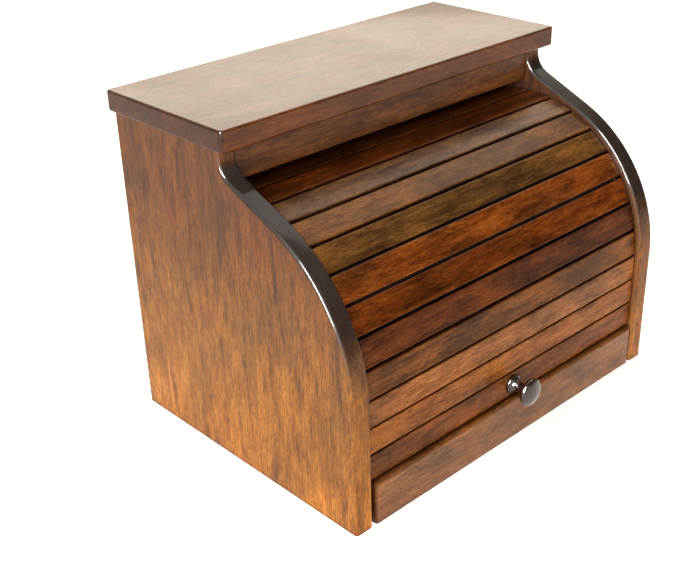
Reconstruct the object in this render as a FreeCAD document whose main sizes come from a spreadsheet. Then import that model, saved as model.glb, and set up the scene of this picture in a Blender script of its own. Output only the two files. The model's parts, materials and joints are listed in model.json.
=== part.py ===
"""A roll-top bread box in stained hardwood, as a parametric document.

The box is a case of two ogee-fronted sides, a top board, a header rail, a front rail, a bottom board and
a thin back panel. A tambour of fourteen slats glued to canvas closes the front. Eleven slats lie on a circle
and turn about its centre in a quarter-inch groove routed in each side; the three lowest hang in the
straight run below the circle, and each bends at the canvas line above it as the door goes up.

The frame is in millimetres: +X along the width, +Y from front to back, +Z up. The origin is at the middle
of the underside of the whole object's bounding box, so the box stands on Z = 0.
"""

import FreeCAD, Part

import math
import os

import Sketcher

Vector = FreeCAD.Vector

# Driving dimensions, in millimetres and degrees. Depths are measured from the front edge of the sides.
SIZES = {
    "body_width": 406.4,  # over the outside of the two sides
    "side_depth": 292.1,
    "overall_height": 317.5,
    "board_thick": 19.05,
    "edge_round": 3.2,  # on both edges of a side's curved front
    "face_depth": 5.5,  # how far the tambour's face lies behind the sides' front edge
    "curl_radius": 131.0,  # circle through the canvas lines between the slats
    "slat_angle": 11.25,  # one slat on that circle
    "slat_thick": 8.0,
    "slat_gap": 1.4,
    "slat_round": 1.3,
    "end_gap": 0.8,  # between a slat's shoulder and a side
    "tongue_thick": 5.0,
    "tongue_long": 8.0,
    "groove_wide": 6.35,
    "groove_deep": 9.5,
    "groove_inner": 131.5,  # radius of the groove's inner wall
    "groove_end": 227.0,  # angle round the circle where the groove stops, from the front
    "canvas_thick": 0.7,
    "canvas_margin": 12.0,  # from a slat's shoulder to the canvas
    "canvas_trim": 0.3,  # left free where two moving pieces of canvas meet
    "rail_height": 40.4,
    "rail_gap": 4.0,
    "rail_round": 2.0,
    "ogee_angle": 24.0,  # slope of the straight run between the two curves of the side's front
    "ogee_radius": 20.0,
    "neck_depth": 149.0,
    "top_front": 136.6,
    "top_side_overhang": 4.5,
    "back_overhang": 5.0,
    "top_corner": 3.6,
    "top_round": 2.2,
    "header_front": 151.0,
    "header_bottom": 266.0,
    "bottom_low": 3.2,
    "bottom_thick": 12.7,
    "dado_deep": 6.35,
    "back_thick": 6.35,
    "back_lap": 9.5,
    "fit_gap": 0.25,
    "dowel_radius": 4.0,
    "dowel_gap": 0.05,
    "dowel_half": 12.0,
    "rail_dowel_radius": 3.0,
    "screw_head": 3.2,
    "screw_head_thick": 1.6,
    "screw_sink": 1.8,
    "screw_shank": 1.4,
    "screw_long": 9.0,
    "slot_wide": 0.8,
    "slot_deep": 0.7,
    "knob_long": 26.0,
    "knob_head": 13.2,
    "knob_base": 9.0,
    "knob_neck": 5.0,
    "knob_foot": 2.8,  # thickness of the knob's foot, before the waist
    "knob_ease": 1.0,  # roundness of the foot's rim
    "knob_shoulder": 4.2,  # from the head's rim in to where the waist meets it
    "knob_rim": 2.4,  # from the head's rim in to where the dome starts
    "knob_bore": 15.6,
    "bolt_radius": 2.0,
    "bolt_room": 0.3,
    "bolt_sink": 1.6,
}
ARC_SLATS = 8  # from the straight run up to the crown of the circle
HIDDEN_SLATS = 3  # past the crown, under and behind the header
STRAIGHT_SLATS = 3  # between the front rail and the circle, the lowest with the knob
BACK_SCREW_HEIGHTS = (30.0, 205.0, 282.0)
BOTTOM_SCREW_PLACES = (-110.0, 0.0, 110.0)
RAIL_DOWEL_PLACES = (-120.0, 0.0, 120.0)
TOP_DOWEL_DEPTHS = (190.0, 232.0, 270.0)
HEADER_DOWEL_HEIGHTS = (285.0,)

doc = FreeCAD.newDocument("bread_box")
sheet = doc.addObject("Spreadsheet::Sheet", "Sizes")
for row, (alias, number) in enumerate(SIZES.items(), start=1):
    sheet.set(f"A{row}", alias)
    sheet.set(f"B{row}", str(number))
    sheet.setAlias(f"B{row}", alias)
doc.recompute()

# Places worked out from the driving dimensions, as expressions on the sheet.
FRONT = "((Sizes.knob_long - Sizes.face_depth - Sizes.side_depth - Sizes.back_overhang) / 2)"
INNER_HALF = "(Sizes.body_width / 2 - Sizes.board_thick)"
UNDER_TOP = "(Sizes.overall_height - Sizes.board_thick)"
CIRCLE_DEPTH = "(Sizes.face_depth + Sizes.slat_thick + Sizes.curl_radius)"
PITCH = "(2 * Sizes.curl_radius * sin(Sizes.slat_angle * 1 deg / 2))"
CIRCLE_HEIGHT = f"(Sizes.rail_height + Sizes.slat_gap / 2 + {STRAIGHT_SLATS} * {PITCH})"
SHOULDER = f"({INNER_HALF} - Sizes.end_gap)"
BACK_FACE = "(Sizes.side_depth - Sizes.back_thick - Sizes.fit_gap)"
BOTTOM_FRONT = "Sizes.board_thick"
BOTTOM_TOP = "(Sizes.bottom_low + Sizes.bottom_thick)"

made = []


def value(expression):
    """The number that an expression on the sheet stands for."""
    found = sheet.evalExpression(expression)
    return float(getattr(found, "Value", found))


def part(obj, label):
    """Names obj as one of the object's sub-parts."""
    obj.Label = label
    made.append(obj)
    return obj


def place(obj, across="0", depth="0", height="0"):
    """Binds obj's position to the sheet. depth counts back from the front edge of the sides."""
    obj.setExpression("Placement.Base.x", across)
    obj.setExpression("Placement.Base.y", f"{FRONT} + {depth}")
    obj.setExpression("Placement.Base.z", height)
    return obj


def new_body(name):
    return doc.addObject("PartDesign::Body", name)


def new_sketch(body, role, name, offset=None):
    """A sketch on one of the body's own origin planes, moved along the plane's normal by offset."""
    plane = next(p for p in body.Origin.OriginFeatures if p.Role == role)
    sketch = body.newObject("Sketcher::SketchObject", name)
    sketch.AttachmentSupport = (plane, [""])
    sketch.MapMode = "FlatFace"
    if offset is not None:
        sketch.setExpression("AttachmentOffset.Base.z", offset)
    return sketch


def fix(sketch, kind, where, expression):
    """One sketch dimension bound to the sheet. where names its geometry and points."""
    index = sketch.addConstraint(Sketcher.Constraint(kind, *where, value(expression)))
    sketch.setExpression(f"Constraints[{index}]", expression)


def fix_point(sketch, geometry, point, x, y):
    """Fixes one point of the sketch at two expressions, on an axis where the expression is 0."""
    for kind, axis, expression in (("DistanceX", -2, x), ("DistanceY", -1, y)):
        if expression == "0":
            sketch.addConstraint(Sketcher.Constraint("PointOnObject", geometry, point, axis))
        else:
            fix(sketch, kind, (-1, 1, geometry, point), expression)


def polygon(sketch, corners):
    """A closed outline of straight lines through corners, each a pair of expressions."""
    points = [Vector(value(x), value(y), 0) for x, y in corners]
    first = sketch.GeometryCount
    count = len(points)
    for i in range(count):
        sketch.addGeometry(Part.LineSegment(points[i], points[(i + 1) % count]))
    for i in range(count):
        sketch.addConstraint(Sketcher.Constraint("Coincident", first + i, 2, first + (i + 1) % count, 1))
    for i, (x, y) in enumerate(corners):
        fix_point(sketch, first + i, 1, x, y)


def rectangle(sketch, low, high):
    """A rectangle between two corners, each a pair of expressions."""
    polygon(sketch, [low, (high[0], low[1]), high, (low[0], high[1])])


def circle(sketch, x, y, radius):
    index = sketch.addGeometry(Part.Circle(Vector(value(x), value(y), 0), Vector(0, 0, 1), value(radius)))
    fix(sketch, "Radius", (index,), radius)
    fix_point(sketch, index, 3, x, y)


def pad(body, sketch, length, name):
    feature = body.newObject("PartDesign::Pad", name)
    feature.Profile = sketch
    feature.setExpression("Length", length)
    doc.recompute()
    return feature


def pocket(body, sketch, depth, name, reverse=False):
    """Cuts the sketch away to depth, against the sketch's normal, and checks that it did cut."""
    before = body.Shape.Volume
    feature = body.newObject("PartDesign::Pocket", name)
    feature.Profile = sketch
    feature.Reversed = reverse
    feature.setExpression("Length", depth)
    doc.recompute()
    if body.Shape.Volume >= before - 1.0:
        raise RuntimeError(f"{name} removed nothing")
    return feature


def round_edges(body, chosen, radius, name):
    """Fillets the edges of the body's tip for which chosen(edge) is true."""
    base = body.Tip
    names = [f"Edge{i}" for i, edge in enumerate(base.Shape.Edges, start=1) if chosen(edge)]
    if not names:
        raise RuntimeError(f"{name} found no edges")
    feature = body.newObject("PartDesign::Fillet", name)
    feature.Base = (base, names)
    feature.setExpression("Radius", radius)
    doc.recompute()
    return feature


def flat_in(edge, axis, at):
    """True where the whole edge lies at one value of an axis."""
    box = edge.BoundBox
    low, high = ((box.XMin, box.XMax), (box.YMin, box.YMax), (box.ZMin, box.ZMax))[axis]
    return abs(low - at) < 1e-4 and abs(high - at) < 1e-4


def along(edge, axis):
    """True for a straight edge that runs along an axis."""
    box = edge.BoundBox
    spans = (box.XLength, box.YLength, box.ZLength)
    return spans[axis] > 1.0 and all(spans[i] < 1e-4 for i in range(3) if i != axis)


# ---------------------------------------------------------------- the case


def side_outline(sketch):
    """The side's profile: foot, large round, short slope, small hollow and neck.

    The large round is centred where the tambour's circle is, so the front edge keeps an even distance from it.
    """
    radius = value(CIRCLE_DEPTH)
    centre = Vector(radius, value(CIRCLE_HEIGHT), 0)
    slope = math.radians(value("Sizes.ogee_angle"))
    hollow = value("Sizes.ogee_radius")
    neck = value("Sizes.neck_depth")
    top = value(UNDER_TOP)
    back = value("Sizes.side_depth")
    crest = centre + Vector(-math.sin(slope), math.cos(slope), 0) * radius
    meet_height = crest.y + (neck - crest.x) * math.tan(slope)
    reach = hollow * math.tan((math.pi / 2 - slope) / 2)
    slope_end = Vector(neck - reach * math.cos(slope), meet_height - reach * math.sin(slope), 0)
    hollow_centre = Vector(neck - hollow, meet_height + reach, 0)
    axis = Vector(0, 0, 1)
    round_arc = Part.ArcOfCircle(Part.Circle(centre, axis, radius), math.pi / 2 + slope, math.pi)
    hollow_arc = Part.ArcOfCircle(Part.Circle(hollow_centre, axis, hollow), slope - math.pi / 2, 0)
    foot = Part.LineSegment(Vector(0, 0, 0), Vector(0, centre.y, 0))
    rise = Part.LineSegment(crest, slope_end)
    neck_line = Part.LineSegment(Vector(neck, hollow_centre.y, 0), Vector(neck, top, 0))
    top_line = Part.LineSegment(Vector(neck, top, 0), Vector(back, top, 0))
    back_line = Part.LineSegment(Vector(back, top, 0), Vector(back, 0, 0))
    base_line = Part.LineSegment(Vector(back, 0, 0), Vector(0, 0, 0))
    curves = (foot, round_arc, rise, hollow_arc, neck_line, top_line, back_line, base_line)
    for curve in curves:
        sketch.addGeometry(curve)
    rule = Sketcher.Constraint
    sketch.addConstraint(rule("Tangent", 0, 2, 1, 2))
    sketch.addConstraint(rule("Tangent", 1, 1, 2, 1))
    sketch.addConstraint(rule("Tangent", 2, 2, 3, 1))
    sketch.addConstraint(rule("Tangent", 3, 2, 4, 1))
    for first, second in ((4, 5), (5, 6), (6, 7), (7, 0)):
        sketch.addConstraint(rule("Coincident", first, 2, second, 1))
    for upright in (0, 4, 6):
        sketch.addConstraint(rule("Vertical", upright))
    for level in (5, 7):
        sketch.addConstraint(rule("Horizontal", level))
    sketch.addConstraint(rule("Coincident", 0, 1, -1, 1))
    fix(sketch, "Radius", (1,), CIRCLE_DEPTH)
    fix(sketch, "DistanceY", (-1, 1, 1, 3), CIRCLE_HEIGHT)
    fix(sketch, "Radius", (3,), "Sizes.ogee_radius")
    fix(sketch, "DistanceX", (-1, 1, 4, 1), "Sizes.neck_depth")
    fix(sketch, "DistanceY", (-1, 1, 4, 2), UNDER_TOP)
    fix(sketch, "DistanceX", (-1, 1, 5, 2), "Sizes.side_depth")
    index = sketch.addConstraint(rule("Angle", 2, slope))
    sketch.setExpression(f"Constraints[{index}]", "Sizes.ogee_angle * 1 deg")


def groove_outline(sketch):
    """The tambour's groove: up the straight run, over the circle and down the back, with round ends."""
    inner = value("Sizes.groove_inner")
    outer = inner + value("Sizes.groove_wide")
    middle = (inner + outer) / 2
    cap = value("Sizes.groove_wide") / 2
    centre = Vector(value(CIRCLE_DEPTH), value(CIRCLE_HEIGHT), 0)
    foot = value("Sizes.rail_height") + cap / 2
    finish = math.pi - math.radians(value("Sizes.groove_end"))
    axis = Vector(0, 0, 1)

    def on_circle(radius, angle):
        return centre + Vector(math.cos(angle), math.sin(angle), 0) * radius

    left, right = centre.x - outer, centre.x - inner
    sketch.addGeometry(Part.LineSegment(Vector(left, foot, 0), Vector(left, centre.y, 0)))
    sketch.addGeometry(Part.ArcOfCircle(Part.Circle(centre, axis, outer), finish, math.pi))
    end_centre = on_circle(middle, finish)
    end_cap = Part.Circle(end_centre, axis, cap)
    sketch.addGeometry(Part.ArcOfCircle(end_cap, finish - math.pi, finish))
    sketch.addGeometry(Part.ArcOfCircle(Part.Circle(centre, axis, inner), finish, math.pi))
    sketch.addGeometry(Part.LineSegment(Vector(right, centre.y, 0), Vector(right, foot, 0)))
    foot_cap = Part.Circle(Vector(centre.x - middle, foot, 0), axis, cap)
    sketch.addGeometry(Part.ArcOfCircle(foot_cap, math.pi, 2 * math.pi))
    rule = Sketcher.Constraint
    for joint in ((0, 2, 1, 2), (1, 1, 2, 2), (2, 1, 3, 1), (3, 2, 4, 1), (4, 2, 5, 2), (5, 1, 0, 1)):
        sketch.addConstraint(rule("Coincident", *joint))
    sketch.addConstraint(rule("Vertical", 0))
    sketch.addConstraint(rule("Coincident", 1, 3, 3, 3))
    fix(sketch, "Radius", (3,), "Sizes.groove_inner")
    fix(sketch, "Radius", (1,), "Sizes.groove_inner + Sizes.groove_wide")
    fix_point(sketch, 1, 3, CIRCLE_DEPTH, CIRCLE_HEIGHT)


def make_left_side():
    """A side panel with its curved front rounded over, and the joints cut in its inner face."""
    body = new_body("LeftSide")
    profile = new_sketch(body, "YZ_Plane", "side_profile")
    side_outline(profile)
    pad(body, profile, "Sizes.board_thick", "side_board")
    thick = value("Sizes.board_thick")
    neck = value("Sizes.neck_depth")

    def on_curved_front(edge):
        on_face = flat_in(edge, 0, 0) or flat_in(edge, 0, thick)
        return on_face and edge.BoundBox.YMax < neck + 0.01

    round_edges(body, on_curved_front, "Sizes.edge_round", "front_roundover")

    inside = "Sizes.board_thick"
    groove = new_sketch(body, "YZ_Plane", "groove_line", inside)
    groove_outline(groove)
    pocket(body, groove, "Sizes.groove_deep", "tambour_groove")
    rebate = new_sketch(body, "YZ_Plane", "back_rebate_area", inside)
    rectangle(rebate, (BACK_FACE, "0"), ("Sizes.side_depth", UNDER_TOP))
    pocket(body, rebate, "Sizes.back_lap + Sizes.fit_gap", "back_rebate")
    dado = new_sketch(body, "YZ_Plane", "bottom_dado_area", inside)
    rectangle(dado, (BOTTOM_FRONT, "Sizes.bottom_low"), ("Sizes.side_depth", BOTTOM_TOP))
    pocket(body, dado, "Sizes.dado_deep", "bottom_dado")
    header_holes = new_sketch(body, "YZ_Plane", "header_dowel_places", inside)
    for height in HEADER_DOWEL_HEIGHTS:
        middle = "Sizes.header_front + Sizes.board_thick / 2"
        circle(header_holes, middle, str(height), "Sizes.dowel_radius + Sizes.dowel_gap")
    pocket(body, header_holes, "Sizes.dowel_half + Sizes.fit_gap", "header_dowel_holes")
    top_holes = new_sketch(body, "XY_Plane", "top_dowel_places", UNDER_TOP)
    for depth in TOP_DOWEL_DEPTHS:
        circle(top_holes, "Sizes.board_thick / 2", str(depth), "Sizes.dowel_radius + Sizes.dowel_gap")
    pocket(body, top_holes, "Sizes.dowel_half + Sizes.fit_gap", "top_dowel_holes")
    screw_holes = new_sketch(body, "XZ_Plane", "back_screw_places", f"-{BACK_FACE}")
    for height in BACK_SCREW_HEIGHTS:
        middle = "Sizes.board_thick - Sizes.back_lap / 2"
        circle(screw_holes, middle, str(height), "Sizes.screw_shank + Sizes.dowel_gap")
    depth = "Sizes.screw_long - Sizes.back_thick + Sizes.fit_gap"
    pocket(body, screw_holes, depth, "back_screw_holes", reverse=True)
    place(body, "-Sizes.body_width / 2")
    return part(body, "left_side")


def make_right_side(left):
    mirror = doc.addObject("Part::Mirroring", "RightSide")
    mirror.Source = left
    mirror.Normal = Vector(1, 0, 0)
    mirror.Base = Vector(0, 0, 0)
    return part(mirror, "right_side")


def make_top_board():
    """The top, with rounded corners and eased edges, bored underneath for its dowels."""
    body = new_body("TopBoard")
    outline = new_sketch(body, "XY_Plane", "top_outline")
    half = "Sizes.body_width / 2 + Sizes.top_side_overhang"
    low = (f"-({half})", "Sizes.top_front")
    high = (half, "Sizes.side_depth + Sizes.back_overhang")
    rectangle(outline, low, high)
    pad(body, outline, "Sizes.board_thick", "top_slab")
    round_edges(body, lambda edge: along(edge, 2), "Sizes.top_corner", "top_corners")
    thick = value("Sizes.board_thick")

    def on_a_rim(edge):
        return flat_in(edge, 2, 0) or flat_in(edge, 2, thick)

    round_edges(body, on_a_rim, "Sizes.top_round", "top_rims")
    holes = new_sketch(body, "XY_Plane", "top_dowel_places")
    for sign in ("-", ""):
        for depth in TOP_DOWEL_DEPTHS:
            across = f"{sign}(Sizes.body_width - Sizes.board_thick) / 2"
            circle(holes, across, str(depth), "Sizes.dowel_radius + Sizes.dowel_gap")
    pocket(body, holes, "Sizes.dowel_half + Sizes.fit_gap", "top_dowel_holes", reverse=True)
    place(body, height=UNDER_TOP)
    return part(body, "top_board")


def make_header():
    """The rail under the top board that the tambour runs behind."""
    body = new_body("Header")
    section = new_sketch(body, "YZ_Plane", "header_section")
    rectangle(section, ("0", "0"), ("Sizes.board_thick", f"{UNDER_TOP} - Sizes.header_bottom"))
    pad(body, section, f"2 * {INNER_HALF}", "header_bar")

    def lower_front(edge):
        return along(edge, 0) and flat_in(edge, 1, 0) and flat_in(edge, 2, 0)

    round_edges(body, lower_front, "Sizes.rail_round", "header_easing")
    for name, offset, reverse in (("left", "0", True), ("right", f"2 * {INNER_HALF}", False)):
        holes = new_sketch(body, "YZ_Plane", f"header_{name}_places", offset)
        for height in HEADER_DOWEL_HEIGHTS:
            above = f"{height} - Sizes.header_bottom"
            circle(holes, "Sizes.board_thick / 2", above, "Sizes.dowel_radius + Sizes.dowel_gap")
        pocket(body, holes, "Sizes.dowel_half + Sizes.fit_gap", f"header_{name}_holes", reverse)
    place(body, f"-{INNER_HALF}", "Sizes.header_front", "Sizes.header_bottom")
    return part(body, "header_rail")


def make_front_rail():
    """The fixed rail across the foot of the front, level with the sides' edges and short of each side."""
    body = new_body("FrontRail")
    section = new_sketch(body, "YZ_Plane", "rail_section")
    rectangle(section, ("0", "0"), ("Sizes.board_thick", "Sizes.rail_height"))
    pad(body, section, f"2 * ({INNER_HALF} - Sizes.rail_gap)", "rail_bar")
    height = value("Sizes.rail_height")

    def front_rim(edge):
        return flat_in(edge, 1, 0) and not flat_in(edge, 2, 0) or along(edge, 0) and flat_in(edge, 2, height)

    round_edges(body, front_rim, "Sizes.rail_round", "rail_easing")
    holes = new_sketch(body, "XZ_Plane", "rail_dowel_places", "-Sizes.board_thick")
    for across in RAIL_DOWEL_PLACES:
        x = f"{INNER_HALF} - Sizes.rail_gap + {across}"
        z = "Sizes.bottom_low + Sizes.bottom_thick / 2"
        circle(holes, x, z, "Sizes.rail_dowel_radius + Sizes.dowel_gap")
    pocket(body, holes, "Sizes.dowel_half + Sizes.fit_gap", "rail_dowel_holes", reverse=True)
    place(body, f"-({INNER_HALF} - Sizes.rail_gap)")
    return part(body, "front_rail")


def make_bottom_board():
    """The floor of the box, held in the sides' dadoes and doweled to the front rail."""
    body = new_body("BottomBoard")
    section = new_sketch(body, "YZ_Plane", "bottom_section")
    rectangle(section, ("0", "0"), (f"{BACK_FACE} - {BOTTOM_FRONT} - Sizes.fit_gap", "Sizes.bottom_thick"))
    half = f"({INNER_HALF} + Sizes.dado_deep - Sizes.fit_gap)"
    pad(body, section, f"2 * {half}", "bottom_slab")
    front_holes = new_sketch(body, "XZ_Plane", "rail_dowel_places")
    for across in RAIL_DOWEL_PLACES:
        radius = "Sizes.rail_dowel_radius + Sizes.dowel_gap"
        circle(front_holes, f"{half} + {across}", "Sizes.bottom_thick / 2", radius)
    pocket(body, front_holes, "Sizes.dowel_half + Sizes.fit_gap", "rail_dowel_holes")
    back_edge = f"-({BACK_FACE} - {BOTTOM_FRONT} - Sizes.fit_gap)"
    back_holes = new_sketch(body, "XZ_Plane", "back_screw_places", back_edge)
    for across in BOTTOM_SCREW_PLACES:
        radius = "Sizes.screw_shank + Sizes.dowel_gap"
        circle(back_holes, f"{half} + {across}", "Sizes.bottom_thick / 2", radius)
    pocket(body, back_holes, "Sizes.screw_long - Sizes.back_thick", "back_screw_holes", reverse=True)
    place(body, f"-{half}", BOTTOM_FRONT, "Sizes.bottom_low")
    return part(body, "bottom_board")


def make_back_panel():
    """The thin back, let into the sides' rebates and screwed on."""
    body = new_body("BackPanel")
    area = new_sketch(body, "XZ_Plane", "back_area")
    half = f"({INNER_HALF} + Sizes.back_lap)"
    low = "Sizes.bottom_low"
    rectangle(area, (f"-{half}", low), (half, f"{UNDER_TOP} - Sizes.fit_gap"))
    pad(body, area, "Sizes.back_thick", "back_sheet")
    steps = (
        ("shank", "Sizes.screw_shank", "Sizes.back_thick"),
        ("head", "Sizes.screw_head", "Sizes.screw_sink"),
    )
    for name, radius, depth in steps:
        holes = new_sketch(body, "XZ_Plane", f"back_{name}_places")
        for x, z in back_screw_places():
            circle(holes, x, z, f"{radius} + Sizes.dowel_gap")
        pocket(body, holes, depth, f"back_{name}_holes", reverse=True)
    place(body, depth=f"{BACK_FACE} + Sizes.back_thick")
    return part(body, "back_panel")


def back_screw_places():
    """Where the back panel's screws stand, as pairs of expressions for X and Z."""
    edge = f"({INNER_HALF} + Sizes.back_lap / 2)"
    found = [(f"{sign}{edge}", str(height)) for sign in ("-", "") for height in BACK_SCREW_HEIGHTS]
    middle = "Sizes.bottom_low + Sizes.bottom_thick / 2"
    return found + [(str(across), middle) for across in BOTTOM_SCREW_PLACES]


def make_back_screws():
    """Flat-headed screws through the back panel, as one group."""
    solids = []
    rear = value(f"{FRONT} + {BACK_FACE} + Sizes.back_thick")
    head = value("Sizes.screw_head")
    shank = value("Sizes.screw_shank")
    wide, deep = value("Sizes.slot_wide"), value("Sizes.slot_deep")
    slot_long = 1.5 * head
    forward = Vector(0, -1, 0)
    for x, z in back_screw_places():
        at = Vector(value(x), rear, value(z))
        body = Part.makeCylinder(shank, value("Sizes.screw_long"), at, forward)
        cap = Part.makeCylinder(head, value("Sizes.screw_head_thick"), at, forward)
        slot = Part.makeBox(slot_long, deep, wide, at + Vector(-slot_long / 2, -deep, -wide / 2))
        cross = Part.makeBox(wide, deep, slot_long, at + Vector(-wide / 2, -deep, -slot_long / 2))
        solids.append(body.fuse(cap).cut(slot).cut(cross))
    return group_feature(solids, "back_screws")


def group_feature(solids, label):
    """A Part::Feature that holds several identical solids in one node."""
    feature = doc.addObject("Part::Feature", label)
    feature.Shape = Part.makeCompound(solids)
    return part(feature, label)


def dowels(places, direction, radius, label):
    """Dowels as one group, each centred on a place and lying along a direction."""
    half = value("Sizes.dowel_half")
    size = value(radius)
    solids = []
    for at in places:
        stick = Part.makeCylinder(size, 2 * half, at - direction * half, direction)
        rims = [edge for edge in stick.Edges if edge.Curve.TypeId == "Part::GeomCircle"]
        solids.append(stick.makeChamfer(size / 5, rims))
    return group_feature(solids, label)


def make_dowels():
    front = value(FRONT)
    side_middle = value("(Sizes.body_width - Sizes.board_thick) / 2")
    inner = value(INNER_HALF)
    header_middle = front + value("Sizes.header_front + Sizes.board_thick / 2")
    under_top = value(UNDER_TOP)
    top_places = [
        Vector(sign * side_middle, front + depth, under_top) for sign in (-1, 1) for depth in TOP_DOWEL_DEPTHS
    ]
    header_places = [
        Vector(sign * inner, header_middle, height) for sign in (-1, 1) for height in HEADER_DOWEL_HEIGHTS
    ]
    rail_depth = front + value(BOTTOM_FRONT)
    rail_height = value("Sizes.bottom_low + Sizes.bottom_thick / 2")
    rail_places = [Vector(across, rail_depth, rail_height) for across in RAIL_DOWEL_PLACES]
    dowels(top_places, Vector(0, 0, 1), "Sizes.dowel_radius", "top_dowels")
    dowels(header_places, Vector(1, 0, 0), "Sizes.dowel_radius", "header_dowels")
    dowels(rail_places, Vector(0, 1, 0), "Sizes.rail_dowel_radius", "rail_dowels")


# ---------------------------------------------------------------- the tambour


def slat_name(number):
    """Slats count up from the handle slat, which is number 1."""
    if number == 1:
        return "handle_slat"
    if number == STRAIGHT_SLATS + ARC_SLATS + HIDDEN_SLATS:
        return "tail_slat"
    return f"slat_{number:02d}"


def stand_on_track(obj, number, across="0"):
    """Places obj, made with its lower canvas line at its origin, where slat number lies with the door shut."""
    if number <= STRAIGHT_SLATS:
        depth = "(Sizes.face_depth + Sizes.slat_thick)"
        height = f"(Sizes.rail_height + Sizes.slat_gap / 2 + {number - 1} * {PITCH})"
        return place(obj, across, depth, height)
    turned = f"({number - 1 - STRAIGHT_SLATS} * Sizes.slat_angle * 1 deg)"
    depth = f"({CIRCLE_DEPTH} - Sizes.curl_radius * cos({turned}))"
    height = f"({CIRCLE_HEIGHT} + Sizes.curl_radius * sin({turned}))"
    obj.setExpression("Placement.Rotation.Axis.x", "-1")
    obj.setExpression("Placement.Rotation.Axis.y", "0")
    obj.setExpression("Placement.Rotation.Axis.z", "0")
    obj.setExpression("Placement.Rotation.Angle", f"{turned} + Sizes.slat_angle * 1 deg / 2")
    return place(obj, across, depth, height)


def make_slat(number):
    """A slat: a flat strip with its front edges eased, and a tongue at each end where it runs in a groove."""
    name = slat_name(number)
    body = new_body(name.title())
    section = new_sketch(body, "YZ_Plane", "slat_section")
    low = ("-Sizes.slat_thick", "Sizes.slat_gap / 2")
    high = ("0", f"{PITCH} - Sizes.slat_gap / 2")
    rectangle(section, low, high)
    pad(body, section, f"2 * {SHOULDER}", "slat_strip")
    face = -value("Sizes.slat_thick")

    def front_edge(edge):
        return along(edge, 0) and flat_in(edge, 1, face)

    round_edges(body, front_edge, "Sizes.slat_round", "slat_easing")
    if number > STRAIGHT_SLATS:
        shoulder = "(Sizes.slat_thick - Sizes.tongue_thick) / 2"
        for side, offset, reverse in (("left", "0", True), ("right", f"2 * {SHOULDER}", False)):
            end = new_sketch(body, "YZ_Plane", f"{side}_tongue", offset)
            corner = (f"-Sizes.slat_thick + {shoulder}", "Sizes.slat_gap / 2")
            opposite = (f"-({shoulder})", f"{PITCH} - Sizes.slat_gap / 2")
            rectangle(end, corner, opposite)
            feature = pad(body, end, "Sizes.tongue_long + Sizes.end_gap", f"{side}_tongue_pad")
            feature.Reversed = reverse
            doc.recompute()
    if number == 1:
        hole = new_sketch(body, "XZ_Plane", "knob_bolt_place")
        circle(hole, SHOULDER, f"{PITCH} / 2", "Sizes.bolt_radius + Sizes.bolt_room")
        pocket(body, hole, "Sizes.slat_thick", "knob_bolt_hole", reverse=True)
        sink = new_sketch(body, "XZ_Plane", "knob_bolt_sink")
        circle(sink, SHOULDER, f"{PITCH} / 2", "2 * Sizes.bolt_radius + Sizes.bolt_room")
        pocket(body, sink, "Sizes.bolt_sink", "knob_bolt_counterbore", reverse=True)
    stand_on_track(body, number, f"-{SHOULDER}")
    return part(body, name)


def make_canvas_main():
    """The canvas behind the slats of the circle, faceted where it follows their flat backs."""
    body = new_body("CanvasMain")
    section = new_sketch(body, "YZ_Plane", "canvas_section")
    inner = "(Sizes.curl_radius - Sizes.canvas_thick / cos(Sizes.slat_angle * 1 deg / 2))"
    outer_line, inner_line = [], []
    last = ARC_SLATS + HIDDEN_SLATS
    for step in range(last + 1):
        turned = f"({step} * Sizes.slat_angle * 1 deg)"
        trim = {0: "Sizes.canvas_trim", last: "(-Sizes.canvas_trim)"}.get(step, "0")
        lean = f"({turned} + {1 if step == 0 else -1} * Sizes.slat_angle * 1 deg / 2)"
        for radius, line in (("Sizes.curl_radius", outer_line), (inner, inner_line)):
            y = f"{CIRCLE_DEPTH} - {radius} * cos({turned}) + {trim} * sin({lean})"
            z = f"{CIRCLE_HEIGHT} + {radius} * sin({turned}) + {trim} * cos({lean})"
            line.append((y, z))
    polygon(section, outer_line + inner_line[::-1])
    half = f"({SHOULDER} - Sizes.canvas_margin)"
    pad(body, section, f"2 * {half}", "canvas_sheet")
    place(body, f"-{half}")
    return part(body, "canvas_main")


def make_canvas_strip(number):
    """The canvas behind one slat of the straight run. The handle slat's strip stops above the knob's bolt."""
    half = f"({SHOULDER} - Sizes.canvas_margin)"
    strip = doc.addObject("Part::Box", f"Canvas{number}")
    low = f"(0.55 * {PITCH})" if number == 1 else "Sizes.canvas_trim"
    strip.setExpression("Length", f"2 * {half}")
    strip.setExpression("Width", "Sizes.canvas_thick")
    strip.setExpression("Height", f"{PITCH} - Sizes.canvas_trim - {low}")
    depth = "(Sizes.face_depth + Sizes.slat_thick)"
    height = f"(Sizes.rail_height + Sizes.slat_gap / 2 + {number - 1} * {PITCH} + {low})"
    place(strip, f"-{half}", depth, height)
    return part(strip, "canvas_" + slat_name(number))


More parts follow.
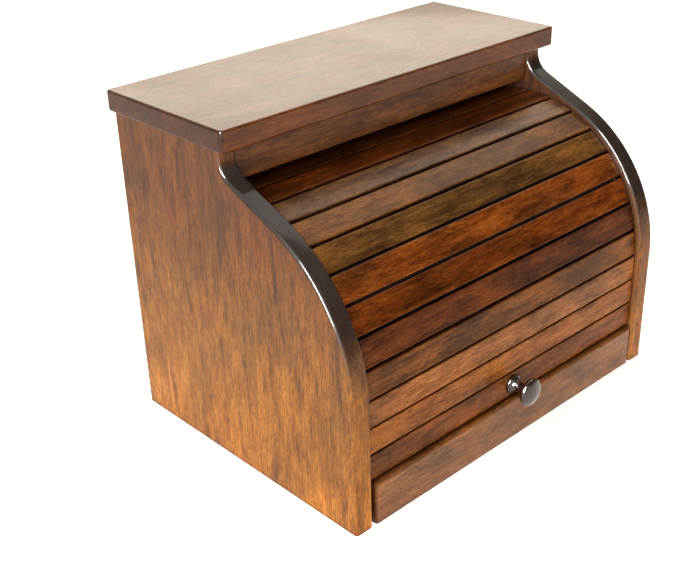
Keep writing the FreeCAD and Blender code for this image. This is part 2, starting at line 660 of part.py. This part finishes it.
def make_knob():
    """A turned wooden knob: a round foot, a waist and a wide, slightly domed head, bored for its bolt."""
    body = new_body("Knob")
    section = new_sketch(body, "XY_Plane", "knob_section")
    base, neck, head = (value(f"Sizes.knob_{name}") for name in ("base", "neck", "head"))
    foot, ease = value("Sizes.knob_foot"), value("Sizes.knob_ease")
    shoulder, rim_in = value("Sizes.knob_shoulder"), value("Sizes.knob_rim")
    long, bore, bolt = value("Sizes.knob_long"), value("Sizes.knob_bore"), value("Sizes.bolt_radius")

    def at(radius, share):
        """A point of the profile, at a radius and a share of the knob's length."""
        return Vector(radius, -long * share, 0)

    foot_start = Vector(base - ease, 0, 0)
    foot_end = Vector(base - ease, -foot, 0)
    waist_end = at(head - shoulder, 0.66)
    rim = at(head - rim_in, 0.91)
    dome = (rim.x**2 + (long + rim.y) ** 2) / (2 * (long + rim.y))
    dome_centre = Vector(0, dome - long, 0)
    rim_angle = math.atan2(rim.y - dome_centre.y, rim.x)
    tip = Vector(0, -long, 0)
    bore_middle, bore_edge = Vector(0, -bore, 0), Vector(bolt, -bore, 0)
    outline = [
        Part.LineSegment(Vector(bolt, 0, 0), foot_start),
        Part.Arc(foot_start, Vector(base, -foot / 2, 0), foot_end),
        Part.Arc(foot_end, at(neck, 0.33), waist_end),
        Part.Arc(waist_end, at(head, 0.80), rim),
        Part.ArcOfCircle(Part.Circle(dome_centre, Vector(0, 0, 1), dome), -math.pi / 2, rim_angle),
        Part.LineSegment(tip, bore_middle),
        Part.LineSegment(bore_middle, bore_edge),
        Part.LineSegment(bore_edge, Vector(bolt, 0, 0)),
    ]
    for curve in outline:
        index = section.addGeometry(curve)
        section.addConstraint(Sketcher.Constraint("Block", index))
    turned = body.newObject("PartDesign::Revolution", "knob_turning")
    turned.Profile = section
    turned.ReferenceAxis = (section, ["V_Axis"])
    turned.Angle = 360.0
    doc.recompute()
    place(body, "0", "Sizes.face_depth", f"Sizes.rail_height + Sizes.slat_gap / 2 + {PITCH} / 2")
    return part(body, "knob")


def make_knob_bolt():
    """The bolt that holds the knob, with its head let into the back of the handle slat."""
    radius = value("Sizes.bolt_radius - Sizes.dowel_gap")
    back = value(f"{FRONT} + Sizes.face_depth + Sizes.slat_thick")
    height = value(f"Sizes.rail_height + Sizes.slat_gap / 2 + {PITCH} / 2")
    wide, deep = value("Sizes.slot_wide"), value("Sizes.slot_deep")
    slot_long = 3 * radius
    at = Vector(0, back, height)
    forward = Vector(0, -1, 0)
    shank = Part.makeCylinder(radius, value("Sizes.slat_thick + Sizes.knob_bore") - 1.0, at, forward)
    head = Part.makeCylinder(2 * radius, value("Sizes.bolt_sink"), at, forward)
    slot = Part.makeBox(slot_long, deep, wide, at + Vector(-slot_long / 2, -deep, -wide / 2))
    feature = doc.addObject("Part::Feature", "knob_bolt")
    feature.Shape = shank.fuse(head).cut(slot)
    return part(feature, "knob_bolt")


def check_and_export():
    """Stops on any failed feature or bad shape, then writes one STEP file per sub-part."""
    doc.recompute()
    for obj in doc.Objects:
        if "Invalid" in obj.State or "Error" in obj.State:
            raise RuntimeError(f"{obj.Label} failed: {obj.State}")
    os.makedirs("parts", exist_ok=True)
    for obj in made:
        shape = obj.Shape
        if shape.isNull() or not shape.isValid() or not shape.Solids:
            raise RuntimeError(f"{obj.Label} has a bad shape")
        shape.exportStep(f"parts/{obj.Label}.step")
        box = shape.BoundBox
        size = f"{box.XLength:.1f} x {box.YLength:.1f} x {box.ZLength:.1f} mm"
        print(f"{obj.Label:22s} {len(shape.Solids):2d} solids {shape.Volume / 1000:9.2f} cm3  {size}")


make_right_side(make_left_side())
make_top_board()
make_header()
make_front_rail()
make_bottom_board()
make_back_panel()
make_back_screws()
make_dowels()
for slat_number in range(1, STRAIGHT_SLATS + ARC_SLATS + HIDDEN_SLATS + 1):
    make_slat(slat_number)
make_canvas_main()
for strip_number in range(1, STRAIGHT_SLATS + 1):
    make_canvas_strip(strip_number)
make_knob()
make_knob_bolt()
check_and_export()
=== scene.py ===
"""Looks of the roll-top bread box: stained and lacquered wood, canvas, a turned knob and plated steel."""

import json
import math

import bmesh
import bpy
from mathutils import Matrix, Vector


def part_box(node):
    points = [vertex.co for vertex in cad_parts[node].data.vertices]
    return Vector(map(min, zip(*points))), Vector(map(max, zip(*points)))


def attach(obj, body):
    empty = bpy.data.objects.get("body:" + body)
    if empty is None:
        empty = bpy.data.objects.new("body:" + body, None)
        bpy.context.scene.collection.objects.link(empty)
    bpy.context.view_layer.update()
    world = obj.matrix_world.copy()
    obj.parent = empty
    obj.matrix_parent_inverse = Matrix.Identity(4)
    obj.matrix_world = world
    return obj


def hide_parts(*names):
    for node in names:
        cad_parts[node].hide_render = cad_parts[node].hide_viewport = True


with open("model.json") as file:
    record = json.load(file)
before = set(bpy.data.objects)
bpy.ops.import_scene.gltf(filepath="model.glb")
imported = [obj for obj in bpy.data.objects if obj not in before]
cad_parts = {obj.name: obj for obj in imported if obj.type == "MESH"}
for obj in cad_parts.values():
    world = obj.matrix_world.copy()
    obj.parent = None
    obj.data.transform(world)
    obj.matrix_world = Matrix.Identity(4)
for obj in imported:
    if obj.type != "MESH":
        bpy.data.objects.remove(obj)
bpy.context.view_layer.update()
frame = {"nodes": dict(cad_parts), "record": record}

MM = 0.001
X, Y, Z = 0, 1, 2
FRONT_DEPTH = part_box("left_side")[0][1]  # the front edge of the sides

# The view of the object: degrees and metres, with a lens in millimetres on a sensor 36 mm wide.
VIEW_TARGET = Vector((0.0004, FRONT_DEPTH + 0.2351, 0.0634))
VIEW_AZIMUTH = -42.33
VIEW_ELEVATION = 27.79
VIEW_ROLL = -1.84
VIEW_DISTANCE = 1.1652
VIEW_LENS = 59.5

LIT_POINT = Vector((0, 0, 0.15))  # what every light looks at, near the middle of the box
FLOOR_REACH = 6.0
GLINT_DISTANCE = 2.0

# Sockets of a colour Mix node, which share their names with its sockets for other data.
MIX_FACTOR, MIX_FIRST, MIX_SECOND, MIX_RESULT = 0, 6, 7, 2


# ---------------------------------------------------------------- camera, floor and light


def to_linear(*srgb):
    """A colour given in 0-255 screen values, as the linear numbers that shaders take."""
    out = []
    for value in srgb:
        part = value / 255
        out.append(part / 12.92 if part <= 0.04045 else ((part + 0.055) / 1.055) ** 2.4)
    return (*out, 1.0)


def direction(azimuth, elevation):
    """The unit vector from the object towards a viewer at an azimuth and elevation, in degrees."""
    turn, lift = math.radians(azimuth), math.radians(elevation)
    return Vector((math.sin(turn) * math.cos(lift), -math.cos(turn) * math.cos(lift), math.sin(lift)))


def facing(sight):
    """The rotation whose -Z axis looks back along a sight line, with +Y up."""
    return sight.to_track_quat("Z", "Y").to_matrix().to_4x4()


def make_camera():
    sight = direction(VIEW_AZIMUTH, VIEW_ELEVATION)
    data = bpy.data.cameras.new("photo_camera")
    data.sensor_width = 36.0
    data.lens = VIEW_LENS
    camera = bpy.data.objects.new("photo_camera", data)
    camera.location = VIEW_TARGET + sight * VIEW_DISTANCE
    roll = Matrix.Rotation(math.radians(VIEW_ROLL), 4, "Z")
    camera.matrix_world = Matrix.Translation(camera.location) @ facing(sight) @ roll
    bpy.context.collection.objects.link(camera)
    bpy.context.scene.camera = camera


def area_light(name, azimuth, elevation, distance, width, power, colour, height=None):
    """A soft box that looks at the object from a direction. Without a height it is square."""
    data = bpy.data.lights.new(name, "AREA")
    data.shape = "RECTANGLE" if height else "SQUARE"
    data.size = width
    if height:
        data.size_y = height
    data.energy = power
    data.color = colour
    light = bpy.data.objects.new(name, data)
    towards = direction(azimuth, elevation)
    light.matrix_world = Matrix.Translation(LIT_POINT + towards * distance) @ facing(towards)
    bpy.context.collection.objects.link(light)
    return light


def make_floor():
    """A pale sheet of paper under the object, which glows a little so that it stays white."""
    mesh = bpy.data.meshes.new("floor")
    corners = [(x * FLOOR_REACH, y * FLOOR_REACH, 0) for x, y in ((-1, -1), (1, -1), (1, 1), (-1, 1))]
    mesh.from_pydata(corners, [], [(0, 1, 2, 3)])
    floor = bpy.data.objects.new("floor", mesh)
    bpy.context.collection.objects.link(floor)
    material = bpy.data.materials.new("floor_paper")
    material.use_nodes = True
    shader = material.node_tree.nodes["Principled BSDF"]
    shader.inputs["Base Color"].default_value = (0.93, 0.93, 0.925, 1)
    shader.inputs["Roughness"].default_value = 0.9
    shader.inputs["Emission Color"].default_value = (1.0, 0.985, 0.95, 1)
    shader.inputs["Emission Strength"].default_value = 0.62
    shader.inputs["Specular IOR Level"].default_value = 0.1
    mesh.materials.append(material)


def make_lights():
    area_light("back_window", 140, 31, 2.2, 2.9, 24, (1.0, 0.95, 0.78), height=1.1)
    area_light("left_fill", -62, 26, 2.0, 0.5, 8, (1.0, 0.97, 0.92), height=0.7)
    area_light("top_softbox", 150, 70, 2.4, 1.4, 20, (1.0, 0.98, 0.94))
    area_light("front_fill", -20, 34, 2.6, 1.6, 9, (1.0, 0.95, 0.88))
    glints = (("left_glint", -60, 30, 0.28, 1.5, 560), ("right_glint", 100, 50, 1.3, 0.8, 10))
    white = (0.98, 1.0, 0.95)
    for name, azimuth, elevation, width, height, power in glints:
        glint = area_light(name, azimuth, elevation, GLINT_DISTANCE, width, power, white, height=height)
        glint.visible_diffuse = False  # it shows only as a shine, meant for the rounded edges


def make_world():
    """A room that lights from behind the object and is dim in front, with a pale backdrop for the eye."""
    world = bpy.data.worlds.new("studio")
    world.use_nodes = True
    tree = world.node_tree
    background = tree.nodes["Background"]
    coords = tree.nodes.new("ShaderNodeTexCoord")
    split = tree.nodes.new("ShaderNodeSeparateXYZ")
    ramp = tree.nodes.new("ShaderNodeValToRGB")
    tree.links.new(coords.outputs["Generated"], split.inputs["Vector"])
    tree.links.new(split.outputs["Y"], ramp.inputs["Fac"])
    dim, bright = ramp.color_ramp.elements
    dim.position = 0.05
    dim.color = (0.16, 0.15, 0.14, 1)
    bright.position = 0.75
    bright.color = (0.85, 0.81, 0.68, 1)
    seen = tree.nodes.new("ShaderNodeLightPath")
    backdrop = tree.nodes.new("ShaderNodeMix")
    backdrop.data_type = "RGBA"
    backdrop.inputs[MIX_SECOND].default_value = (0.93, 0.93, 0.92, 1)
    tree.links.new(seen.outputs["Is Camera Ray"], backdrop.inputs[MIX_FACTOR])
    tree.links.new(ramp.outputs["Color"], backdrop.inputs[MIX_FIRST])
    tree.links.new(backdrop.outputs[MIX_RESULT], background.inputs["Color"])
    background.inputs["Strength"].default_value = 1.0
    bpy.context.scene.world = world


def make_studio():
    make_floor()
    make_world()
    make_lights()
    view = bpy.context.scene.view_settings
    view.view_transform = "Standard"
    view.look = "None"


# ---------------------------------------------------------------- node trees


class Nodes:
    """Short calls for building a material's node tree."""

    def __init__(self, name):
        self.material = bpy.data.materials.new(name)
        self.material.use_nodes = True
        self.tree = self.material.node_tree
        self.shader = self.tree.nodes["Principled BSDF"]

    def add(self, kind, **settings):
        node = self.tree.nodes.new(kind)
        for key, value in settings.items():
            setattr(node, key, value)
        return node

    def link(self, source, target):
        self.tree.links.new(source, target)

    def plug(self, given, socket):
        """Sets a socket to a number or colour, or links another node's output to it."""
        if isinstance(given, (int, float, tuple)):
            socket.default_value = given
        else:
            self.link(given, socket)

    def coords(self, kind):
        return self.add("ShaderNodeTexCoord").outputs[kind]

    def split(self, vector):
        """The three parts of a vector, as outputs."""
        node = self.add("ShaderNodeSeparateXYZ")
        self.link(vector, node.inputs["Vector"])
        return node.outputs

    def place(self, scale, offset=(0, 0, 0)):
        """Object coordinates, in metres, scaled and moved."""
        mapping = self.add("ShaderNodeMapping")
        self.link(self.coords("Object"), mapping.inputs["Vector"])
        mapping.inputs["Scale"].default_value = scale
        mapping.inputs["Location"].default_value = offset
        return mapping.outputs["Vector"]

    def noise(self, vector, detail, roughness, distortion=0.0):
        node = self.add("ShaderNodeTexNoise")
        self.link(vector, node.inputs["Vector"])
        node.inputs["Scale"].default_value = 1.0
        node.inputs["Detail"].default_value = detail
        node.inputs["Roughness"].default_value = roughness
        node.inputs["Distortion"].default_value = distortion
        return node.outputs["Fac"]

    def wave(self, vector, **settings):
        node = self.add("ShaderNodeTexWave", **settings)
        self.link(vector, node.inputs["Vector"])
        node.inputs["Scale"].default_value = 1.0
        return node

    def ramp(self, value, stops):
        """A colour ramp. stops are pairs of place and colour or grey."""
        node = self.add("ShaderNodeValToRGB")
        self.link(value, node.inputs["Fac"])
        elements = node.color_ramp.elements
        while len(elements) < len(stops):
            elements.new(0.5)
        for element, (place, colour) in zip(elements, stops):
            element.position = place
            element.color = colour if isinstance(colour, tuple) else (colour, colour, colour, 1)
        return node.outputs["Color"]

    def mix(self, factor, first, second, blend="MIX"):
        node = self.add("ShaderNodeMix", data_type="RGBA", blend_type=blend)
        self.plug(factor, node.inputs[MIX_FACTOR])
        self.plug(first, node.inputs[MIX_FIRST])
        self.plug(second, node.inputs[MIX_SECOND])
        return node.outputs[MIX_RESULT]

    def shaded(self, base, shade, amount=1.0):
        """base multiplied by a shade, as far as amount says."""
        product = self.mix(1.0, base, shade, "MULTIPLY")
        return product if amount == 1.0 else self.mix(amount, base, product)

    def calc(self, operation, first, second=0.0):
        node = self.add("ShaderNodeMath", operation=operation)
        self.plug(first, node.inputs[0])
        self.plug(second, node.inputs[1])
        return node.outputs[0]

    def bump(self, height, strength, distance):
        node = self.add("ShaderNodeBump")
        self.link(height, node.inputs["Height"])
        node.inputs["Strength"].default_value = strength
        node.inputs["Distance"].default_value = distance
        self.link(node.outputs["Normal"], self.shader.inputs["Normal"])


# ---------------------------------------------------------------- wood

# Scales of each layer of the wood, in features per metre: along the grain and across it.
FIGURE = (20.0, 130.0)
RINGS = (6.0, 80.0)
FIBRES = (120.0, 900.0)
STREAKS = (17.0, 100.0)
CLOUDS = (13.0, 26.0)
PORES = (230.0, 1500.0)
RIPPLE = (9.0, 55.0)
SMEARS = (14.0, 14.0)

# What each layer does to the colour: stops of a ramp, as a grey or a tint to multiply by.
RING_SHADE = [(0.0, 1.0), (0.6, 0.95), (0.95, 0.70)]
FIBRE_SHADE = [(0.34, 0.32), (0.50, 1.0), (0.68, 1.55)]
STREAK_SHADE = [(0.30, (0.28, 0.25, 0.24, 1)), (0.41, (0.78, 0.75, 0.74, 1)), (0.47, 1.0)]
CLOUD_SHADE = [(0.36, (0.52, 0.54, 0.58, 1)), (0.50, (0.92, 0.91, 0.90, 1)), (0.64, (1.22, 1.14, 1.0, 1))]
PORE_SHADE = [(0.36, 0.22), (0.43, 1.0)]
# ramp of the painted shade in narrow gaps and recesses
PAINTED_CREVICE_SHADE = [(0.35, 0.16), (0.85, 1.0)]
END_GRAIN = [(0.06, 0.0), (0.45, 1.0)]  # share of end grain, by how squarely a face looks along the grain
CREVICE_REACH = 5 * MM
PAINTED_SHADE_HEIGHT = 0.3  # over which an upright board's painted shade gets darker, up from a painted light at its foot
PAINTED_SHADE_WANDER = 0.3  # share of the clouds in where that starts


def stretched(axis, along, across):
    """Scales for a grain that runs along an axis: few features along it, many across."""
    return tuple(along if i == axis else across for i in range(3))


def growth_rings(n, axis, pith):
    """Shade of the tree's rings, drawn about a pith that lies across the grain."""
    scale = stretched(axis, *RINGS)
    middle = [0.0, 0.0, 0.0]
    first, second = [i for i in range(3) if i != axis]
    middle[first], middle[second] = pith
    shift = tuple(m * k for m, k in zip(middle, scale))
    place = n.place(scale, shift)
    rings = n.wave(place, wave_type="RINGS", rings_direction="XYZ"[axis], wave_profile="SAW")
    rings.inputs["Distortion"].default_value = 2.6
    rings.inputs["Detail"].default_value = 3.0
    rings.inputs["Detail Scale"].default_value = 0.5
    return n.ramp(rings.outputs["Fac"], RING_SHADE)


def painted_height_shading(n, cloud, painted_top_shade):
    """Painted shade that gets darker towards the top of an upright board, unevenly, over a painted light at
    its foot.
    """
    height = n.split(n.coords("Object"))[Z]
    level = n.calc("ADD", n.calc("MULTIPLY", height, 1 / PAINTED_SHADE_HEIGHT), n.calc("MULTIPLY", cloud, PAINTED_SHADE_WANDER))
    painted_top_tint = (painted_top_shade, painted_top_shade * 0.78, painted_top_shade * 0.3, 1)
    return n.ramp(level, [(0.2, (1.4, 1.38, 1.35, 1)), (0.55, 1.0), (0.95, painted_top_tint)])


def end_grain_share(n, axis):
    """1 on faces that look along the grain, 0 on faces along it."""
    parts = n.split(n.coords("Normal"))
    return n.ramp(n.calc("ABSOLUTE", parts[axis]), END_GRAIN)


def painted_crevice_shade(n):
    """Painted shade: the colour darkened in narrow gaps and recesses, by how closed in each point is."""
    crevice = n.add("ShaderNodeAmbientOcclusion", samples=8)
    crevice.inputs["Distance"].default_value = CREVICE_REACH
    return n.ramp(crevice.outputs["AO"], PAINTED_CREVICE_SHADE)


def wood(name, axis, dark, mid, light, seed, blotch=0.6, gloss=0.2, coat=0.8, polish=0.06,
         pith=(0.03, -0.09), end=0.12, painted_top_shade=None, cloudy=0.8, shine=0.1):
    """Stained, lacquered hardwood with its grain along an axis.

    dark, mid and light are screen colours of the stain's three tones, and blotch is how strong the dark
    streaks are. gloss is the wood's own roughness, coat and polish are the lacquer's weight and roughness,
    and shine is how much the wood under the lacquer reflects. pith is where the middle of the tree lies
    across the grain, in metres, and end is how dark the end grain is beside the long grain. painted_top_shade
    is how dark the painted shade is at the top of an upright board, over a painted light at its foot, and
    cloudy how much its tone wanders. seed moves the whole pattern, so that no two boards are alike. The
    colour also carries painted shade in narrow gaps and recesses.
    """
    n = Nodes(name)
    shift = (seed * 3.17, seed * 1.73, seed * 5.41)

    def layer(scales, *settings):
        """Noise drawn out along the grain."""
        return n.noise(n.place(stretched(axis, *scales), shift), *settings)

    stain = [(0.33, to_linear(*dark)), (0.50, to_linear(*mid)), (0.67, to_linear(*light))]
    base = n.ramp(layer(FIGURE, 8.0, 0.74, 0.3), stain)
    base = n.shaded(base, growth_rings(n, axis, pith), 0.4)
    fibres = layer(FIBRES, 5.0, 0.75)
    base = n.shaded(base, n.ramp(fibres, FIBRE_SHADE), 0.85)
    base = n.shaded(base, n.ramp(layer(STREAKS, 4.0, 0.6, 0.3), STREAK_SHADE), blotch)
    cloud = layer(CLOUDS, 4.0, 0.6)
    base = n.shaded(base, n.ramp(cloud, CLOUD_SHADE), cloudy)
    pores = layer(PORES, 2.0, 0.6)
    base = n.shaded(base, n.ramp(pores, PORE_SHADE), 0.6)
    # painted shade towards the top of an upright board and painted light towards its foot
    if painted_top_shade is not None:
        base = n.shaded(base, painted_height_shading(n, cloud, painted_top_shade))
    base = n.mix(end_grain_share(n, axis), base, n.shaded(base, (end, end * 0.94, end * 0.9, 1)))
    # painted shade in narrow gaps and recesses, multiplied into the colour
    base = n.shaded(base, painted_crevice_shade(n))
    n.link(base, n.shader.inputs["Base Color"])

    smears = layer(SMEARS, 3.0, 0.6)
    n.link(n.ramp(smears, [(0.3, gloss), (0.7, gloss + 0.16)]), n.shader.inputs["Roughness"])
    n.shader.inputs["Specular IOR Level"].default_value = shine
    n.shader.inputs["Coat Weight"].default_value = coat
    n.shader.inputs["Coat Roughness"].default_value = polish
    fine = n.calc("ADD", n.calc("MULTIPLY", fibres, 0.25), layer(RIPPLE, 2.0, 0.5))
    n.bump(n.calc("ADD", n.calc("MULTIPLY", pores, 0.3), fine), 0.3, 0.4 * MM)
    return n.material


# ---------------------------------------------------------------- the other materials

WEAVE_SCALE = 1600 / 9  # of the band waves that stand for threads, which puts one every 1.77 mm


def canvas_cloth(name):
    """Plain-woven cotton duck, its tone made very dark as painted shade in the gaps between the slats."""
    n = Nodes(name)
    warp = n.wave(n.place((WEAVE_SCALE, 1, 1)), wave_type="BANDS", bands_direction="X")
    weft = n.wave(n.place((1, 1, WEAVE_SCALE)), wave_type="BANDS", bands_direction="Z")
    weave = n.calc("MULTIPLY", warp.outputs["Fac"], weft.outputs["Fac"])
    cloud = n.noise(n.place((18, 18, 18)), 4.0, 0.6)
    # very dark tone: painted shade in the gaps between the slats
    tone = n.ramp(cloud, [(0.3, to_linear(34, 22, 12)), (0.7, to_linear(58, 40, 24))])
    n.link(n.shaded(tone, n.ramp(weave, [(0.0, 0.72), (0.6, 1.0)])), n.shader.inputs["Base Color"])
    n.shader.inputs["Roughness"].default_value = 0.95
    n.shader.inputs["Specular IOR Level"].default_value = 0.05
    n.bump(weave, 0.5, 0.4 * MM)
    return n.material


def knob_lacquer(name):
    """Very dark turned wood under a thick gloss finish."""
    n = Nodes(name)
    grain = n.noise(n.place((90, 700, 90)), 3.0, 0.6, 0.5)
    tone = n.ramp(grain, [(0.3, to_linear(28, 14, 10)), (0.7, to_linear(70, 40, 26))])
    n.link(tone, n.shader.inputs["Base Color"])
    smears = n.noise(n.place((160, 160, 160)), 3.0, 0.6)
    n.link(n.ramp(smears, [(0.3, 0.14), (0.7, 0.26)]), n.shader.inputs["Roughness"])
    n.shader.inputs["Coat Weight"].default_value = 0.6
    n.shader.inputs["Coat Roughness"].default_value = 0.04
    n.bump(grain, 0.15, 0.2 * MM)
    return n.material


def plated_steel(name):
    """Yellowish plated steel with fine scratches."""
    n = Nodes(name)
    scratches = n.noise(n.place((900, 900, 900)), 3.0, 0.6)
    tone = n.ramp(scratches, [(0.3, to_linear(150, 138, 110)), (0.7, to_linear(196, 186, 160))])
    n.link(tone, n.shader.inputs["Base Color"])
    n.shader.inputs["Metallic"].default_value = 1.0
    n.link(n.ramp(scratches, [(0.3, 0.28), (0.7, 0.48)]), n.shader.inputs["Roughness"])
    n.bump(scratches, 0.2, 0.1 * MM)
    return n.material


def dress(node, material):
    """Gives a CAD node a material through its own slots."""
    for slot in frame["nodes"][node].material_slots:
        slot.material = material


# From the lowest slat up: the stain's dark, mid and light tones on each slat.
SLAT_TONES = {
    "handle_slat": ((92, 46, 14), (142, 78, 28), (170, 98, 38)),
    "slat_02": ((126, 70, 24), (174, 102, 40), (198, 124, 56)),
    "slat_03": ((113, 65, 29), (164, 101, 50), (189, 122, 65)),
    "slat_04": ((82, 42, 14), (136, 78, 26), (166, 98, 36)),
    "slat_05": ((64, 28, 6), (112, 53, 11), (141, 72, 18)),
    "slat_06": ((71, 32, 7), (126, 60, 14), (168, 87, 23)),
    "slat_07": ((85, 42, 13), (148, 76, 22), (186, 103, 36)),
    "slat_08": ((73, 46, 20), (125, 81, 35), (161, 108, 48)),
    "slat_09": ((104, 60, 24), (152, 94, 42), (180, 116, 54)),
    "slat_10": ((90, 59, 35), (139, 92, 55), (165, 114, 70)),
    "slat_11": ((70, 30, 8), (120, 56, 14), (150, 76, 24)),
    "slat_12": ((66, 32, 10), (110, 56, 18), (134, 72, 28)),
    "slat_13": ((56, 28, 10), (96, 48, 18), (120, 64, 26)),
    "tail_slat": ((56, 28, 10), (96, 48, 18), (120, 64, 26)),
}


def dress_sides():
    # the sides get painted shade towards the top and painted light towards the foot
    panel = {"blotch": 0.8, "coat": 0.3, "gloss": 0.5, "painted_top_shade": 0.55, "cloudy": 0.6}
    left_tones = (132, 76, 16), (174, 106, 22), (196, 126, 32)
    right_tones = (120, 66, 14), (160, 94, 20), (182, 114, 30)
    dress("left_side", wood("left_side_wood", Z, *left_tones, seed=1.0, **panel))
    dress("right_side", wood("right_side_wood", Z, *right_tones, seed=8.0, **panel))


def dress_boards():
    top_tones = (92, 44, 8), (120, 60, 12), (140, 76, 18)
    board = {"blotch": 0.5, "coat": 0.38, "pith": (0.1, -0.24), "end": 0.5, "cloudy": 0.6}
    dress("top_board", wood("top_wood", X, *top_tones, seed=2.0, **board))
    rail_tones = (112, 62, 24), (158, 96, 40), (184, 118, 54)
    rail = wood("rail_wood", X, *rail_tones, seed=3.0, coat=0.4, pith=(0.2, 0.02), end=0.5)
    dress("front_rail", rail)
    dress("bottom_board", rail)
    header_tones = (74, 40, 16), (128, 72, 28), (154, 94, 40)
    dress("header_rail", wood("header_wood", X, *header_tones, seed=4.0, coat=0.25, polish=0.3))
    back_tones = (122, 80, 44), (144, 98, 58), (162, 114, 70)
    plain = {"blotch": 0.25, "gloss": 0.4, "coat": 0.1, "cloudy": 0.3}
    dress("back_panel", wood("back_wood", X, *back_tones, seed=5.0, **plain))


def dress_slats():
    """Every slat is cut from a board of its own, so each has its own seed and pith."""
    for count, (node, tones) in enumerate(SLAT_TONES.items()):
        pith = (0.05 - 0.012 * count, -0.05 + 0.021 * count)
        satin = {"blotch": 0.6, "coat": 0.18, "polish": 0.2, "cloudy": 0.95, "shine": 0.04}
        dress(node, wood(f"{node}_wood", X, *tones, seed=10.0 + count, pith=pith, **satin))


def dress_fasteners():
    bare_tones = (150, 110, 70), (180, 140, 96), (200, 164, 120)
    bare = wood("dowel_wood", Y, *bare_tones, seed=6.0, gloss=0.5, coat=0.0)
    for node in ("top_dowels", "header_dowels", "rail_dowels"):
        dress(node, bare)
    steel = plated_steel("screw_steel")
    dress("knob_bolt", steel)
    dress("back_screws", steel)


def dress_all():
    dress_sides()
    dress_boards()
    dress_slats()
    dress_fasteners()
    dress("knob", knob_lacquer("knob_wood"))


# ---------------------------------------------------------------- the canvas behind the slats

CLOTH_THICK = 0.5 * MM
CLOTH_DEPTH = 0.36 * MM  # of the cloth's middle behind the backs of the slats
FRAY = 0.5 * MM  # how far the edge of the cloth wanders
PUCKER = 0.07 * MM  # how far the cloth wanders from flat
CLOTH_COLUMNS = 120
ROWS_PER_RUN = 8
END_TRIM = 0.02  # share of its first and last run by which the curtain's canvas stops short


def subdivided(path, steps):
    """The points of a path with each run divided evenly."""
    points = []
    for start, stop in zip(path, path[1:]):
        for step in range(steps):
            points.append(start.lerp(stop, step / steps))
    points.append(path[-1])
    return points


def cloth_piece(name, path, half_width, material):
    """A strip of canvas along a path of points in the YZ plane, with a worn edge and a slight pucker."""
    rows = subdivided(path, ROWS_PER_RUN)
    mesh = bmesh.new()
    grid = []
    for i, point in enumerate(rows):
        before, after = rows[max(i - 1, 0)], rows[min(i + 1, len(rows) - 1)]
        run = (after - before).normalized()
        inward = Vector((0, run.z, -run.y))
        fray = FRAY * math.sin(i * 2.3) * math.sin(i * 0.71 + 1.0)
        line = []
        for j in range(CLOTH_COLUMNS + 1):
            x = (2 * j / CLOTH_COLUMNS - 1) * (half_width + fray)
            pucker = PUCKER * math.sin(j * 0.83 + i * 0.37) * math.sin(j * 0.19 - i * 1.1)
            at = point + inward * pucker
            line.append(mesh.verts.new((x, at.y, at.z)))
        grid.append(line)
    for low, high in zip(grid, grid[1:]):
        for j in range(CLOTH_COLUMNS):
            mesh.faces.new((low[j], low[j + 1], high[j + 1], high[j]))
    data = bpy.data.meshes.new(name)
    mesh.to_mesh(data)
    mesh.free()
    for face in data.polygons:
        face.use_smooth = True
    data.materials.append(material)
    piece = bpy.data.objects.new(name, data)
    bpy.context.collection.objects.link(piece)
    thick = piece.modifiers.new("cloth_thickness", "SOLIDIFY")
    thick.thickness = CLOTH_THICK
    thick.offset = 0
    return piece


def curtain_path(slat_count):
    """The middle of the canvas at each gap between the slats that lie on the circle, from the lowest up."""
    joints = {joint["name"]: joint["pos_m"] for joint in frame["record"]["behaviour"]["joints"]}
    _, centre_y, centre_z = joints["door_roll"]
    _, line_y, line_z = joints["bend_3"]
    radius = centre_y - line_y
    pitch = line_z - joints["bend_2"][2]
    slat_angle = 2 * math.asin(pitch / 2 / radius)
    reach = radius - CLOTH_DEPTH / math.cos(slat_angle / 2)
    path = []
    for step in range(slat_count + 1):
        turned = step * slat_angle
        path.append(Vector((0, centre_y - reach * math.cos(turned), centre_z + reach * math.sin(turned))))
    return path


def trimmed(path):
    """A path with a little taken off both ends."""
    return [path[0].lerp(path[1], END_TRIM)] + path[1:-1] + [path[-1].lerp(path[-2], END_TRIM)]


def lay_canvas(name, node, body, path, cloth):
    """One sheet of canvas glued to the backs of slats, in place of its CAD node."""
    half_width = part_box("canvas_main")[1][0]
    piece = cloth_piece(name, path, half_width, cloth)
    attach(piece, body)
    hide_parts(node)


def make_canvas():
    """One piece of canvas behind the slats of each moving body."""
    cloth = canvas_cloth("canvas_weave")
    on_circle = [node for node in frame["record"]["behaviour"]["bodies"]["curtain"] if "slat" in node]
    path = curtain_path(len(on_circle))
    lay_canvas("curtain_canvas", "canvas_main", "curtain", trimmed(path), cloth)
    strips = (
        ("handle_canvas", "handle_slat", "handle_link"),
        ("slat_02_canvas", "slat_02", "lower_link_2"),
        ("slat_03_canvas", "slat_03", "lower_link_3"),
    )
    for name, slat, body in strips:
        low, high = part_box(f"canvas_{slat}")
        depth = low[1] + CLOTH_DEPTH
        strip = [Vector((0, depth, low[2])), Vector((0, depth, high[2]))]
        lay_canvas(name, f"canvas_{slat}", body, strip, cloth)


make_camera()
make_studio()
dress_all()
make_canvas()
